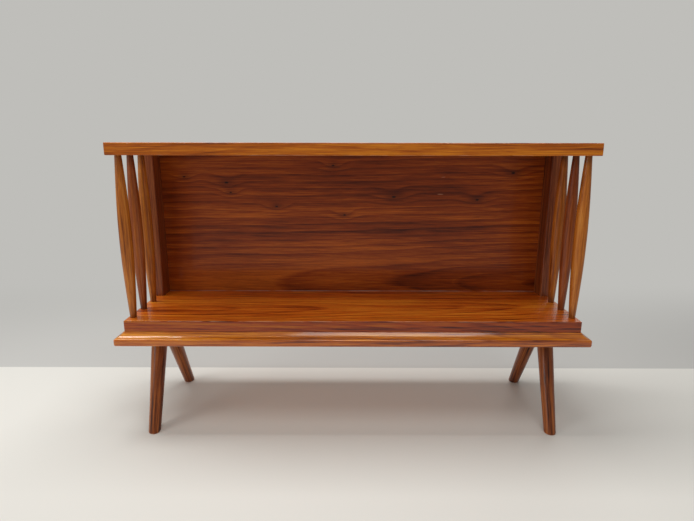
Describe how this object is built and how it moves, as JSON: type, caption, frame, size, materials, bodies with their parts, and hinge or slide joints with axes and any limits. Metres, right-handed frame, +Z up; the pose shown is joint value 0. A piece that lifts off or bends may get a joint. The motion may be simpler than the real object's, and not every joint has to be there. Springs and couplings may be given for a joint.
{
  "type": "magazine rack",
  "caption": "Open-fronted magazine rack: a wooden shelf on splayed legs under a top board, closed at the ends by turned spindles and at the back by a panel.",
  "frame": {"origin": "on the floor, under the middle of the rack", "axes": "+Z up, +X along the boards to the rack's right end seen from its open front, +Y from the open front to the back panel"},
  "size_m": [0.985, 0.2738, 0.61],
  "materials": {
    "board_wood": "satin varnish",
    "panel_wood": "satin varnish",
    "spindle_wood": "satin varnish",
    "leg_wood": "satin varnish",
    "screw_metal": "aged, dull"
  },
  "bodies": {
    "root": {"top_board": "board_wood", "shelf_board": "board_wood", "base_board": "board_wood", "back_panel": "panel_wood", "left_stile": "panel_wood", "right_stile": "panel_wood", "left_spindle_1": "spindle_wood", "left_spindle_2": "spindle_wood", "left_spindle_3": "spindle_wood", "right_spindle_1": "spindle_wood", "right_spindle_2": "spindle_wood", "right_spindle_3": "spindle_wood", "left_leg_block": "leg_wood", "right_leg_block": "leg_wood", "front_left_leg": "leg_wood", "front_right_leg": "leg_wood", "rear_left_leg": "leg_wood", "rear_right_leg": "leg_wood", "leg_block_screws": "screw_metal", "base_screws": "screw_metal"}
  },
  "joints": []
}
